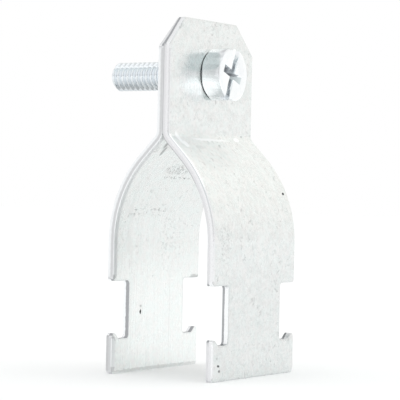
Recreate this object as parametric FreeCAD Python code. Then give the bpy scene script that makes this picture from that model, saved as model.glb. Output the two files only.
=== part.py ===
import FreeCAD, Part

import math
import os

# Strut pipe clamp: two equal bent straps, one hex head screw and one square nut.
# X runs along the screw with the head at +X, Y along the pipe, Z up.
# X = 0 is the plane where the two ears meet, and Z = 0 is the plane of the leg ends.

# Sheet and strap
SHEET = 1.6
STRAP_WIDTH = 32.25
FRONT_REACH = 16.3
LEG_GAP = 23.8
EDGE_ROLL = 0.3
CORNER_ROUND = 0.55

# Foot that hooks under the lips of the strut
FOOT_WIDTH = 32.1
FOOT_HEIGHT = 7.4
NECK_WIDTH = 20.6
NOTCH_HEIGHT = 12.3
NOTCH_CORNER = 0.8
BARB_RISE = 1.2
BARB_TIP = 0.9
BARB_SLOPE = 1.3

# Pipe arch above the strut
STRAIGHT_ABOVE_NOTCH = 8.5
ARCH_INNER_RADIUS = 24.5
ARCH_ANGLE = 45.0

# Ear
EAR_BEND_RADIUS = 2.0
EAR_HEIGHT = 24.77
EAR_TOP_WIDTH = 20.1
EAR_TOP_SHIFT = 0.85
LONG_CORNER_CUT = 6.35
SHORT_CORNER_CUT = 5.9

# Screw, quarter inch with 20 threads an inch
THREAD_DIAMETER = 6.35
SCREW_LENGTH = 25.4
SCREW_BELOW_EAR_TOP = 11.5
TIP_CHAMFER = 0.8
HOLE_CLEARANCE = 0.4
SIDE_PLAY = 0.05
HEAD_SIDES = 6
HEAD_ACROSS_FLATS = 11.0
HEAD_HEIGHT = 4.83
FACE_DIAMETER = 10.5
HEAD_CHAMFER_ANGLE = 30.0
SEAT_DIAMETER = 10.2
SEAT_HEIGHT = 0.3
UNDER_CHAMFER = 0.35

# Drive in the head: a slot with a cross recess
DRIVE_ANGLE = 21.0
SLOT_WIDTH = 1.5
SLOT_DEPTH = 1.5
CROSS_SPAN = 6.9
CROSS_WIDTH = 1.7
CROSS_DEPTH = 3.3
CROSS_FLOOR_SPAN = 2.4
CROSS_FLOOR_WIDTH = 0.9

# Square nut
NUT_SIDES = 4
NUT_ACROSS_FLATS = 11.0
NUT_THICKNESS = 5.5
NUT_CHAMFER_ANGLE = 30.0
NUT_COUNTERSINK = 0.4
THREAD_CLEARANCE = 0.05

# Heights and places that follow from the sizes above
BACK_REACH = STRAP_WIDTH - FRONT_REACH
HALF_FOOT = FOOT_WIDTH / 2
HALF_NECK = NECK_WIDTH / 2
LEG_INNER = LEG_GAP / 2
NOTCH_TOP = FOOT_HEIGHT + NOTCH_HEIGHT
ARCH_BASE = NOTCH_TOP + STRAIGHT_ABOVE_NOTCH
ARCH_OUTER_RADIUS = ARCH_INNER_RADIUS + SHEET
ARCH_CENTRE = LEG_INNER - ARCH_INNER_RADIUS
COS_ARCH = math.cos(math.radians(ARCH_ANGLE))
SIN_ARCH = math.sin(math.radians(ARCH_ANGLE))
ARCH_END = ARCH_CENTRE + ARCH_OUTER_RADIUS * COS_ARCH
ARCH_END_HEIGHT = ARCH_BASE + ARCH_OUTER_RADIUS * SIN_ARCH
EAR_BASE = ARCH_END_HEIGHT + (ARCH_END - SHEET) * COS_ARCH / SIN_ARCH
EAR_TOP = EAR_BASE + EAR_HEIGHT
BEND_CENTRE = SHEET + EAR_BEND_RADIUS
BEND_HEIGHT = EAR_BASE + EAR_BEND_RADIUS * (1 - COS_ARCH) / SIN_ARCH
THREAD_RADIUS = THREAD_DIAMETER / 2
HOLE_RADIUS = THREAD_RADIUS + HOLE_CLEARANCE
SCREW_Y = HOLE_CLEARANCE - SIDE_PLAY
SCREW_Z = EAR_TOP - SCREW_BELOW_EAR_TOP
HEAD_BASE = SHEET
HEAD_FACE = HEAD_BASE + HEAD_HEIGHT
SCREW_TIP = HEAD_BASE - SCREW_LENGTH

X_AXIS = FreeCAD.Vector(1, 0, 0)
Y_AXIS = FreeCAD.Vector(0, 1, 0)
Z_AXIS = FreeCAD.Vector(0, 0, 1)
ORIGIN = FreeCAD.Vector(0, 0, 0)
SCREW_POINT = FreeCAD.Vector(0, SCREW_Y, SCREW_Z)
CUT_MARGIN = 1.0
ON_SURFACE = 1e-5


def section_point(x, z):
    """A point of the strap's side section, in the plane Y = 0."""
    return FreeCAD.Vector(x, 0, z)


def line(start, end):
    """A straight edge."""
    return Part.LineSegment(start, end).toShape()


def arc_about(x, z, radius, start_angle, end_angle):
    """An arc of the side section about a centre, with its angles in degrees from +X."""
    points = []
    for angle in (start_angle, (start_angle + end_angle) / 2, end_angle):
        turn = math.radians(angle)
        points.append(section_point(x + radius * math.cos(turn), z + radius * math.sin(turn)))
    return Part.Arc(*points).toShape(), points[0], points[-1]


def section_side(leg_x, ear_x, arch_radius, bend_radius):
    """One face of the sheet seen from the side: leg, pipe arch, sloping run, bend and ear."""
    arch, arch_start, arch_end = arc_about(ARCH_CENTRE, ARCH_BASE, arch_radius, 0, ARCH_ANGLE)
    bend, bend_start, bend_end = arc_about(
        BEND_CENTRE, BEND_HEIGHT, bend_radius, 180 + ARCH_ANGLE, 180)
    foot = section_point(leg_x, 0)
    top = section_point(ear_x, EAR_TOP)
    edges = [line(foot, arch_start), arch, line(arch_end, bend_start), bend, line(bend_end, top)]
    return edges, foot, top


def outer_side():
    """The sheet's outer face from the side."""
    return section_side(LEG_INNER + SHEET, SHEET, ARCH_OUTER_RADIUS, EAR_BEND_RADIUS)


def bent_sheet():
    """The strap's full bend at full width, before its outline is cut."""
    outer, outer_foot, outer_top = outer_side()
    inner, inner_foot, inner_top = section_side(
        LEG_INNER, 0, ARCH_INNER_RADIUS, EAR_BEND_RADIUS + SHEET)
    ends = [line(outer_foot, inner_foot), line(outer_top, inner_top)]
    wire = Part.Wire(Part.__sortEdges__(outer + inner + ends))
    face = Part.Face(wire)
    sheet = face.extrude(Y_AXIS * (STRAP_WIDTH + 2 * CUT_MARGIN))
    sheet.translate(-Y_AXIS * (FRONT_REACH + CUT_MARGIN))
    return sheet


def rounded_wire(corners):
    """A closed outline in Y and Z whose corners, given with a radius, are rounded."""
    count = len(corners)
    edges = []
    starts = []
    ends = []
    arcs = []
    for index, (y, z, radius) in enumerate(corners):
        corner = FreeCAD.Vector(0, y, z)
        before = FreeCAD.Vector(0, *corners[index - 1][:2]) - corner
        after = FreeCAD.Vector(0, *corners[(index + 1) % count][:2]) - corner
        before.normalize()
        after.normalize()
        half = before.getAngle(after) / 2
        reach = radius / math.tan(half)
        middle = before + after
        middle.normalize()
        starts.append(corner + before * reach)
        ends.append(corner + after * reach)
        arcs.append(corner + middle * (radius / math.sin(half) - radius))
    for index in range(count):
        edges.append(Part.Arc(starts[index], arcs[index], ends[index]).toShape())
        edges.append(line(ends[index], starts[(index + 1) % count]))
    return Part.Wire(edges)


def foot_side(side, body_reach):
    """Corners of one side of the foot, the notch and the body edge, from the floor upwards."""
    barb_top = FOOT_HEIGHT + BARB_RISE
    return [
        (side * HALF_FOOT, 0, CORNER_ROUND),
        (side * HALF_FOOT, barb_top, CORNER_ROUND),
        (side * (HALF_FOOT - BARB_TIP), barb_top, CORNER_ROUND),
        (side * (HALF_FOOT - BARB_TIP - BARB_SLOPE), FOOT_HEIGHT, CORNER_ROUND),
        (side * HALF_NECK, FOOT_HEIGHT, NOTCH_CORNER),
        (side * HALF_NECK, NOTCH_TOP, NOTCH_CORNER),
        (side * body_reach, NOTCH_TOP, CORNER_ROUND),
    ]


def strap_outline():
    """The stamping's outline seen along the screw: foot, neck, body and clipped ear."""
    half_top = EAR_TOP_WIDTH / 2
    ear = [
        (BACK_REACH, EAR_TOP - LONG_CORNER_CUT, CORNER_ROUND),
        (half_top - EAR_TOP_SHIFT, EAR_TOP, CORNER_ROUND),
        (-half_top - EAR_TOP_SHIFT, EAR_TOP, CORNER_ROUND),
        (-FRONT_REACH, EAR_TOP - SHORT_CORNER_CUT, CORNER_ROUND),
    ]
    return rounded_wire(foot_side(1, BACK_REACH) + ear + foot_side(-1, FRONT_REACH)[::-1])


def lies_outside(face, outer_wire):
    """Whether a face belongs to the sheet's outer side."""
    low_u, high_u, low_v, high_v = face.ParameterRange
    point = face.valueAt((low_u + high_u) / 2, (low_v + high_v) / 2)
    gap = outer_wire.distToShape(Part.Vertex(section_point(point.x, point.z)))[0]
    return gap < ON_SURFACE


def outer_rim(strap):
    """The edges round the sheet's outer side, which the press rolls over; the hole stays sharp."""
    outer_wire = Part.Wire(outer_side()[0])
    faces = [face for face in strap.Faces if lies_outside(face, outer_wire)]
    edges = [edge for face in faces for edge in face.OuterWire.Edges]
    return [edge for edge in edges if sum(edge.isSame(other) for other in edges) == 1]


def strap():
    """One strap, bent from one sheet, with its ear against the plane X = 0."""
    outline = Part.Face(strap_outline())
    reach = LEG_INNER + SHEET + 2 * CUT_MARGIN
    stamp = outline.extrude(X_AXIS * reach)
    stamp.translate(-X_AXIS * CUT_MARGIN)
    hole_start = FreeCAD.Vector(-CUT_MARGIN, 0, SCREW_Z)
    hole = Part.makeCylinder(HOLE_RADIUS, SHEET + 2 * CUT_MARGIN, hole_start, X_AXIS)
    blank = bent_sheet().common(stamp).cut(hole)
    body = blank.Solids[0]
    return body.makeFillet(EDGE_ROLL, outer_rim(body))


def turned_round(shape):
    """The same piece turned half a turn about the vertical, to face the other one."""
    copy = shape.copy()
    copy.rotate(ORIGIN, Z_AXIS, 180)
    return copy


def corner_distance(sides, across_flats):
    """How far the corners of a regular prism are from its axis."""
    return across_flats / 2 / math.cos(math.pi / sides)


def prism(sides, across_flats, start, length):
    """A regular prism about the screw's axis, with a flat on top."""
    radius = corner_distance(sides, across_flats)
    points = []
    for index in range(sides + 1):
        turn = math.pi / 2 + math.pi / sides + 2 * math.pi * index / sides
        y = SCREW_Y + radius * math.cos(turn)
        z = SCREW_Z + radius * math.sin(turn)
        points.append(FreeCAD.Vector(start, y, z))
    return Part.Face(Part.makePolygon(points)).extrude(X_AXIS * length)


def turned(profile):
    """A solid turned about the screw's axis from pairs of X and radius."""
    points = [FreeCAD.Vector(x, SCREW_Y, SCREW_Z + radius) for x, radius in profile]
    wire = Part.makePolygon(points + points[:1])
    return Part.Face(wire).revolve(SCREW_POINT, X_AXIS, 360)


def rectangle_at(x, span, width):
    """A rectangle square to the screw's axis, long in Z."""
    low_y = SCREW_Y - width / 2
    low_z = SCREW_Z - span / 2
    corners = [(low_y, low_z), (low_y + width, low_z),
               (low_y + width, low_z + span), (low_y, low_z + span), (low_y, low_z)]
    return Part.makePolygon([FreeCAD.Vector(x, y, z) for y, z in corners])


def cross_blade(turn):
    """One tapered blade of the cross recess."""
    face_growth = CUT_MARGIN / CROSS_DEPTH
    span = CROSS_SPAN + (CROSS_SPAN - CROSS_FLOOR_SPAN) * face_growth
    width = CROSS_WIDTH + (CROSS_WIDTH - CROSS_FLOOR_WIDTH) * face_growth
    wide = rectangle_at(HEAD_FACE + CUT_MARGIN, span, width)
    narrow = rectangle_at(HEAD_FACE - CROSS_DEPTH, CROSS_FLOOR_SPAN, CROSS_FLOOR_WIDTH)
    blade = Part.makeLoft([wide, narrow], True, True)
    blade.rotate(SCREW_POINT, X_AXIS, turn)
    return blade


def drive():
    """What the slot and the cross recess take out of the head."""
    length = 2 * HEAD_ACROSS_FLATS
    corner = FreeCAD.Vector(HEAD_FACE - SLOT_DEPTH, SCREW_Y - SLOT_WIDTH / 2, SCREW_Z - length / 2)
    slot = Part.makeBox(SLOT_DEPTH + CUT_MARGIN, SLOT_WIDTH, length, corner)
    slot.rotate(SCREW_POINT, X_AXIS, -DRIVE_ANGLE)
    return slot.fuse(cross_blade(-DRIVE_ANGLE)).fuse(cross_blade(90 - DRIVE_ANGLE))


def clamp_screw():
    """Hex head machine screw: chamfered head, bearing face, plain shank for the thread."""
    flat_radius = HEAD_ACROSS_FLATS / 2
    corner_radius = corner_distance(HEAD_SIDES, HEAD_ACROSS_FLATS)
    face_radius = FACE_DIAMETER / 2
    top_drop = (corner_radius - face_radius) * math.tan(math.radians(HEAD_CHAMFER_ANGLE))
    seat_top = HEAD_BASE + SEAT_HEIGHT
    envelope = turned([
        (seat_top, 0),
        (seat_top, flat_radius - UNDER_CHAMFER),
        (seat_top + UNDER_CHAMFER + corner_radius - flat_radius, corner_radius),
        (HEAD_FACE - top_drop, corner_radius),
        (HEAD_FACE, face_radius),
        (HEAD_FACE, 0),
    ])
    blank = prism(HEAD_SIDES, HEAD_ACROSS_FLATS, seat_top, HEAD_FACE - seat_top)
    head = blank.common(envelope)
    shank = turned([
        (SCREW_TIP, 0),
        (SCREW_TIP, THREAD_RADIUS - TIP_CHAMFER),
        (SCREW_TIP + TIP_CHAMFER, THREAD_RADIUS),
        (HEAD_BASE, THREAD_RADIUS),
        (HEAD_BASE, SEAT_DIAMETER / 2),
        (seat_top, SEAT_DIAMETER / 2),
        (seat_top, 0),
    ])
    return head.fuse(shank).removeSplitter().cut(drive())


def square_nut():
    """Square nut against the far ear, with its outer corners chamfered."""
    flat_radius = NUT_ACROSS_FLATS / 2
    corner_radius = corner_distance(NUT_SIDES, NUT_ACROSS_FLATS)
    inner_face = -SHEET
    outer_face = inner_face - NUT_THICKNESS
    drop = (corner_radius - flat_radius) * math.tan(math.radians(NUT_CHAMFER_ANGLE))
    envelope = turned([
        (inner_face, 0),
        (inner_face, corner_radius),
        (outer_face + drop, corner_radius),
        (outer_face, flat_radius),
        (outer_face, 0),
    ])
    bore_radius = THREAD_RADIUS + THREAD_CLEARANCE
    bore = turned([
        (inner_face, 0),
        (inner_face, bore_radius + NUT_COUNTERSINK),
        (inner_face - NUT_COUNTERSINK, bore_radius),
        (outer_face + NUT_COUNTERSINK, bore_radius),
        (outer_face, bore_radius + NUT_COUNTERSINK),
        (outer_face, 0),
    ])
    blank = prism(NUT_SIDES, NUT_ACROSS_FLATS, outer_face, NUT_THICKNESS)
    return blank.common(envelope).cut(bore)


def main():
    """Make each piece and write it to its own file."""
    near_strap = strap()
    pieces = {
        "near_strap": near_strap,
        "far_strap": turned_round(near_strap),
        "clamp_screw": clamp_screw(),
        "square_nut": square_nut(),
    }
    os.makedirs("parts", exist_ok=True)
    for name, shape in pieces.items():
        solid = shape.Solids[0]
        solid.exportStep(f"parts/{name}.step")
        print(name, len(shape.Solids), solid.isValid(), solid.Volume, solid.BoundBox)


main()
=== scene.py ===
"""Looks of a strut pipe clamp: two straps, a hex head screw, a square nut and the stage."""

import math

import bmesh
import bpy
import numpy as np
from mathutils import Matrix, Vector
from mathutils.geometry import delaunay_2d_cdt


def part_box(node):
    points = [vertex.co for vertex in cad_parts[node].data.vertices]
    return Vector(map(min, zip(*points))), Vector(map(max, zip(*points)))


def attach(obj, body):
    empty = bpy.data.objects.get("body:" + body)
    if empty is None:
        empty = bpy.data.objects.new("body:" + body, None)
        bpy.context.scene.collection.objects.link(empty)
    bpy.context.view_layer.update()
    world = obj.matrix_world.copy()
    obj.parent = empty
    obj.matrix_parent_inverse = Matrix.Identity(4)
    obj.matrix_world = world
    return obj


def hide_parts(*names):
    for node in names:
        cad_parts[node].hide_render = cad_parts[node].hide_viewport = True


bl_info = {
    "name": "Strut pipe clamp",
    "version": (1, 0, 0),
    "blender": (4, 5, 0),
    "location": "View3D > Sidebar > Clamp",
    "description": "Makes the straps, screw, nut and stage of a strut pipe clamp",
    "category": "Object",
}

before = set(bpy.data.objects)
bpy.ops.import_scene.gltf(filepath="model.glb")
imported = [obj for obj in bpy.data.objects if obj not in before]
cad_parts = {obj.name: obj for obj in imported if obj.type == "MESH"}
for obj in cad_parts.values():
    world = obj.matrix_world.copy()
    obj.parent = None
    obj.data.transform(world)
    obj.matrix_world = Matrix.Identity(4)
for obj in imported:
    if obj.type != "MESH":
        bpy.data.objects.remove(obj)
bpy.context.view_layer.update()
NEAR_LOW, NEAR_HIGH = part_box("near_strap")
SCREW_LOW, SCREW_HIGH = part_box("clamp_screw")
NUT_LOW, NUT_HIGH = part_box("square_nut")

MM = 0.001
FULL_TURN = 2 * math.pi
SHEET_PLACE = "sheet_place"
CUT_FACE = "cut_face"
CUT_THROUGH = "cut_through"
EDGE_KIND = "edge_kind"
SHEET_DEPTH = "sheet_depth"
PAINTED_SHADE = "shade_and_grime"
NEAR_SEED = 1
FAR_SEED = 2
SEED_STEP = 0.5
OUTSIDE = NEAR_SEED * SEED_STEP / MM
TO_MM = (1000.0, 1000.0, 1000.0)
WARM_TINT = (1.0, 0.985, 0.985)
COOL_TINT = (0.985, 1.0, 1.0)

# Camera that the photograph was taken with, in pixels, millimetres and degrees
IMAGE_SIDE = 400
FOCAL_PIXELS = 1803.2
IMAGE_CENTRE = (198.83, 197.04)
CAMERA_PLACE = (213.85, -324.44, 38.36)
CAMERA_TURN = 56.446
CAMERA_RISE = 0.072
CAMERA_ROLL = 1.209

# Studio: where lamp and card are, and towards which sides its walls differ
LAMP_PLACE = (0.35, 0.25, 0.65)
LAMP_SIZE = 0.5
CARD_PLACE = (0.06, -0.055, 0.0)
CARD_SIZE = (0.06, 0.06, 1.0)
WINDOW_SIDE = (0.0, 0.83, 0.55)
REAR_SIDE = (-0.553, 0.5, 0.66)
ABOVE_CAMERA = (0.553, -0.417, 0.72)
FLAG_SIDES = ((-0.95, 0.22, 0.14), (1.0, -0.1, 0.14), (0.1, -1.0, 0.14), (-0.35, 1.0, 0.05))
WHITE = (1.0, 1.0, 1.0)
WINDOW_TINT = (1.0, 1.0, 0.975)
DIM_TINT = (1.0, 1.08, 1.08)

# Mesh of the sheet: how fine it is, and how its cut edges are rolled and torn
EDGE_LAYERS = 9
HOLE_POINTS = 72
CORNER_PARTS = 3
RING_SHARES = (0.03, 0.12, 0.28, 0.5, 0.75, 1.0)
RING_FIT = 0.985
GRID_MARGIN = 0.45
SQUARE_ON = 0.999
POINTS_AT_ONCE = 2000
ROLL_SMOOTHING = 3
WAVE_SMOOTHING = 12
TORN_WAVE = 0.06
TORN_ROUGHNESS = 0.006 * MM
NEAR_TORN_SHIFT = -0.12
FAR_TORN_SHIFT = 0.1
SLIT_FLATNESS = 0.85
REAR_OUTER_ROLL = 0.8
FRONT_ROLL_CUT = 0.75
REAR_ROLL_CUT = 2.4
SHEET_CREASE = math.radians(38)

# Mesh of the screw and the nut
MERGE_REACH = 1e-6
SLIVER = 0.004 * MM
NOTHING = 1e-9
ROWS_PER_PITCH = 12
THREAD_FLANK = math.radians(60)
CREST_SHARE = 1 / 16
ROOT_SOFTNESS = 0.12
CORNER_CROWDING = 0.75
BLEND_REACH = 0.45
UNDER_SLOPE = 1.2
FACE_RING = 0.4 * MM
CUT_INDEX = 1
DRIVE_BLEND = 0.8
DRIVE_CREASE = math.radians(30)
NUT_FACE_SHARE = 0.97
NUT_DULLNESS = 0.1
PLATED_CREASE = math.radians(34)

# Painted shade on the screw: how strong it is, and where it starts and ends
HAIR = 0.01 * MM
GAP_TOP_SHADE = 0.5
RIM_BAND = 0.35 * MM
RIM_SHARE = 0.497
RIM_SHADE = 0.22
DRIVE_EDGE = 0.12 * MM
DRIVE_SHADE = 0.74
DRIVE_FADE = 0.75
ROOT_SHADE = 0.1
TOP_START = 0.62
TOP_SPREAD = 0.1
TOP_SHADE = 0.2
TOP_ROOT_SHADE = 0.3
BOTTOM_SHADE = 0.32


# Settings


def length(name, description, default):
    """A length property in metres."""
    return bpy.props.FloatProperty(
        name=name, description=description, default=default, min=0.0, precision=5, unit="LENGTH")


def share(name, description, default):
    """A property from nought to one."""
    return bpy.props.FloatProperty(
        name=name, description=description, default=default, min=0.0, max=1.0, subtype="FACTOR")


def angle(name, description, degrees):
    """An angle property."""
    return bpy.props.FloatProperty(
        name=name, description=description, default=math.radians(degrees), subtype="ANGLE")


def colour(name, description, default):
    """A colour property."""
    return bpy.props.FloatVectorProperty(
        name=name, description=description, default=default, size=3, min=0.0, max=1.0,
        subtype="COLOR")


class StrapSettings(bpy.types.PropertyGroup):
    """Sizes of the two straps."""

    sheet: length("Sheet", "Thickness of the sheet", 1.6 * MM)
    width: length("Width", "Width of the strap along the pipe", 32.25 * MM)
    front_reach: length("Front reach", "From the screw's plane to the front edge", 16.3 * MM)
    foot_width: length("Foot width", "Width of the foot", 32.1 * MM)
    height: length("Height", "From the leg ends to the top of the ear", NEAR_HIGH.z - NEAR_LOW.z)
    leg_gap: length("Leg gap", "Between the insides of the two legs", 23.8 * MM)
    corner_round: length("Corner round", "Radius of the stamping's outer corners", 0.55 * MM)
    foot_height: length("Foot height", "Foot below the notch", 7.4 * MM)
    neck_width: length("Neck width", "Width between the notches", 20.6 * MM)
    notch_height: length("Notch height", "Height of the notches", 12.3 * MM)
    notch_corner: length("Notch corner", "Radius of the notch's inner corners", 0.8 * MM)
    barb_rise: length("Barb rise", "Height of a barb above the foot", 1.2 * MM)
    barb_tip: length("Barb tip", "Flat on top of a barb", 0.9 * MM)
    barb_slope: length("Barb slope", "Width of a barb's sloping side", 1.3 * MM)
    straight: length("Straight", "Straight side above the notch", 8.5 * MM)
    arch_radius: length("Arch radius", "Inner radius of the pipe arch", 24.5 * MM)
    arch_angle: angle("Arch angle", "How far the arch turns", 45.0)
    bend_radius: length("Bend radius", "Inside radius of the bend below the ear", 2.0 * MM)
    ear_top_width: length("Ear top", "Width of the ear's top edge", 20.1 * MM)
    ear_top_shift: length("Ear top shift", "How far the top edge is off the middle", 0.85 * MM)
    long_clip: length("Long clip", "Height of one clipped corner", 6.35 * MM)
    short_clip: length("Short clip", "Height of the other clipped corner", 5.9 * MM)
    hole_radius: length("Hole radius", "Radius of the hole in the ear", 3.575 * MM)
    slit_roll_width: length("Slit roll width", "Rolled zone on the long edges", 1.45 * MM)
    slit_roll_drop: length("Slit roll drop", "Depth of that rolled zone", 0.32 * MM)
    punch_roll_width: length("Punch roll width", "Rolled zone where punched", 0.5 * MM)
    punch_roll_drop: length("Punch roll drop", "Depth of that rolled zone", 0.16 * MM)
    fracture_hollow: length("Fracture hollow", "How far torn metal is set in", 0.035 * MM)
    mesh_step: length("Mesh step", "Spacing of the mesh points on the sheet", 0.6 * MM)


class ScrewSettings(bpy.types.PropertyGroup):
    """Sizes of the screw."""

    thread_radius: length("Thread radius", "Outside radius of the thread", 3.175 * MM)
    pitch: length("Pitch", "Distance between two turns of the thread", 1.27 * MM)
    thread_depth: length("Thread depth", "From crest to root", 0.72 * MM)
    run_out: length("Run-out", "Where the thread fades below the head", 1.4 * MM)
    neck_radius: length("Neck radius", "Plain neck below the head", 2.95 * MM)
    tip_chamfer: length("Tip chamfer", "Chamfer at the tip", 0.8 * MM)
    across_flats: length("Across flats", "Width of the hex head", 11.0 * MM)
    head_height: length("Head height", "From the ear to the face of the head", 4.83 * MM)
    face_diameter: length("Face diameter", "Round face on top of the head", 10.5 * MM)
    chamfer_angle: angle("Chamfer angle", "Slope of the head's top chamfer", 18.0)
    corner_blend: length("Corner blend", "Rounding of the hex corners", 0.7 * MM)
    low_trim: length("Low trim", "Circle that cuts the hex corners near the ear", 11.85 * MM)
    high_trim: length("High trim", "Circle that cuts the hex corners near the face", 11.45 * MM)
    head_offset: length("Head offset", "How far the hexagon is off the shank's axis", 0.4 * MM)
    edge_blend: length("Edge blend", "Rounding of the other edges", 0.09 * MM)
    seat_diameter: length("Seat", "Raised bearing ring under the head", 10.2 * MM)
    seat_height: length("Seat height", "Height of the bearing ring", 0.13 * MM)
    seat_gap: length("Seat gap", "Air between the bearing ring and the ear", 0.006 * MM)
    under_diameter: length("Under diameter", "Circle that trims the corners below", 10.8 * MM)
    drive_angle: angle("Drive angle", "How far the slot leans", 21.0)
    slot_width: length("Slot width", "Width of the slot", 1.5 * MM)
    slot_depth: length("Slot depth", "Depth of the slot", 1.5 * MM)
    cross_span: length("Cross span", "Span of the cross at the face", 6.9 * MM)
    cross_width: length("Cross width", "Width of a wing at the face", 1.7 * MM)
    cross_depth: length("Cross depth", "Depth of the cross", 3.3 * MM)
    cross_floor_span: length("Cross floor span", "Span of the cross at its floor", 2.4 * MM)
    cross_floor_width: length("Cross floor width", "Width of a wing at its floor", 0.9 * MM)


class NutSettings(bpy.types.PropertyGroup):
    """Sizes of the nut."""

    across_flats: length("Across flats", "Width of the square nut", 11.0 * MM)
    bore_radius: length("Bore radius", "Radius of the bore at the thread's root", 3.225 * MM)
    thread_depth: length("Thread depth", "Depth of the nut's thread", 0.66 * MM)
    countersink: length("Countersink", "Chamfer at both ends of the bore", 0.4 * MM)
    chamfer_angle: angle("Chamfer angle", "Slope of the chamfered corners", 30.0)
    corner_blend: length("Corner blend", "Rounding of the square's corners", 0.35 * MM)
    edge_blend: length("Edge blend", "Rounding of the other edges", 0.12 * MM)


class FinishSettings(bpy.types.PropertyGroup):
    """Colours and gloss of the metal."""

    sheet_light: colour("Sheet light", "Bright patches of the sheet", (0.86, 0.876, 0.87))
    sheet_dark: colour("Sheet dark", "Dull patches of the sheet", (0.775, 0.796, 0.79))
    # The inner colours are lighter than the outer ones: painted light for the light bounced between
    # the two straps.
    inner_light: colour("Inner light", "Bright patches inside the clamp", (0.90, 0.92, 0.91))
    inner_dark: colour("Inner dark", "Dull patches inside the clamp", (0.86, 0.885, 0.875))
    pit: colour("Pit", "Specks and pits in the coating", (0.05, 0.05, 0.055))
    burnish: colour("Burnish", "Smooth part of a punched edge", (0.95, 0.96, 0.97))
    fracture: colour("Fracture", "Torn part of a punched edge", (0.52, 0.53, 0.55))
    slit_burnish: colour("Slit burnish", "Smooth part of the front edge", (0.88, 0.88, 0.895))
    slit_fracture: colour("Slit fracture", "Torn part of the front edge", (0.775, 0.775, 0.79))
    slit_rear: colour("Slit rear", "Dull part of the rear edge", (0.67, 0.675, 0.685))
    screw_plate: colour("Screw plate", "Bright plating of the screw", (0.955, 0.975, 0.99))
    blue_plate: colour("Blue plate", "Bluish plating behind the ears", (0.938, 0.972, 1.0))
    nut_plate: colour("Nut plate", "Plating of the nut", (0.66, 0.69, 0.72))
    # This dark colour serves the plating's dull patches and the painted shade on the screw.
    shade_and_grime: colour("Grime", "Dark film in gaps, roots and recesses", (0.06, 0.075, 0.095))
    sheet_gloss: share("Sheet roughness", "Roughness of the bright patches", 0.22)
    sheet_dull: share("Sheet dullness", "Roughness of the dull patches", 0.34)
    plate_gloss: share("Plate roughness", "Roughness of the plating", 0.10)


class StageSettings(bpy.types.PropertyGroup):
    """Floor, light and camera."""

    floor_colour: colour("Floor", "Colour of the floor", (0.90, 0.90, 0.90))
    floor_glow: share("Floor glow", "What lifts the floor to white in view", 0.2)
    mirrored_glow: share("Mirrored glow", "What lifts the floor in the metal", 0.26)
    card_glow: share("Card glow", "Brightness that a white card in front adds in the metal", 0.33)
    floor_size: length("Floor size", "Side of the square floor", 6.0)
    sky_level: bpy.props.FloatProperty(
        name="Sky", description="Brightness of the studio's white walls", default=1.0, min=0.0)
    dim_level: share("Dim part", "Brightness of the studio's dim part above the camera", 0.74)
    rear_level: share("Rear part", "Brightness high up behind the left side", 0.78)
    warm_level: bpy.props.FloatProperty(
        name="Window", description="Brightness high up behind the right", default=1.1, min=0.0)
    flag_level: share("Flags", "Brightness of the studio's four grey flags", 0.66)
    lamp_power: bpy.props.FloatProperty(
        name="Lamp", description="Power of the soft lamp", default=0.22, unit="POWER")


# Unrolled sheet


class SheetPath:
    """Side section of a strap, followed along the middle of the sheet."""

    def __init__(self, settings):
        half = settings.sheet / 2
        self.half = half
        self.arch_angle = settings.arch_angle
        cos_arch = math.cos(self.arch_angle)
        sin_arch = math.sin(self.arch_angle)
        self.leg_x = settings.leg_gap / 2 + half
        self.arch_x = settings.leg_gap / 2 - settings.arch_radius
        self.arch_z = settings.foot_height + settings.notch_height + settings.straight
        self.arch_radius = settings.arch_radius + half
        outer_radius = settings.arch_radius + settings.sheet
        arch_end_x = self.arch_x + outer_radius * cos_arch
        arch_end_z = self.arch_z + outer_radius * sin_arch
        ear_base = arch_end_z + (arch_end_x - settings.sheet) * cos_arch / sin_arch
        self.bend_x = settings.sheet + settings.bend_radius
        self.bend_z = ear_base + settings.bend_radius * (1 - cos_arch) / sin_arch
        self.bend_radius = settings.bend_radius + half
        run_start = Vector((self.arch_x + self.arch_radius * cos_arch,
                            self.arch_z + self.arch_radius * sin_arch))
        bend_start = Vector((self.bend_x - self.bend_radius * cos_arch,
                             self.bend_z - self.bend_radius * sin_arch))
        self.arch_start = self.arch_z
        self.run_start = self.arch_start + self.arch_radius * self.arch_angle
        self.bend_start = self.run_start + (bend_start - run_start).length
        self.ear_start = self.bend_start + self.bend_radius * self.arch_angle
        self.top = self.ear_start + settings.height - self.bend_z

    def place(self, along, depth):
        """X and Z of points at a distance along the sheet and a depth below its outer face."""
        rise = self.half - depth
        turn = np.clip((along - self.arch_start) / self.arch_radius, 0, self.arch_angle)
        run = np.clip(along - self.run_start, 0, self.bend_start - self.run_start)
        cos_arch = math.cos(self.arch_angle)
        sin_arch = math.sin(self.arch_angle)
        radius = self.arch_radius + rise
        arch_x = self.arch_x + radius * np.cos(turn) - run * sin_arch
        arch_z = self.arch_z + radius * np.sin(turn) + run * cos_arch
        back = np.clip((along - self.bend_start) / self.bend_radius, 0, self.arch_angle)
        heading = math.pi + self.arch_angle - back
        bend_x = self.bend_x + (self.bend_radius - rise) * np.cos(heading)
        bend_z = self.bend_z + (self.bend_radius - rise) * np.sin(heading)
        x = np.where(along < self.arch_start, self.leg_x + rise, arch_x)
        z = np.where(along < self.arch_start, along, arch_z)
        x = np.where(along > self.bend_start, bend_x, x)
        z = np.where(along > self.bend_start, bend_z, z)
        x = np.where(along > self.ear_start, self.half + rise, x)
        z = np.where(along > self.ear_start, self.bend_z + along - self.ear_start, z)
        return x, z


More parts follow.
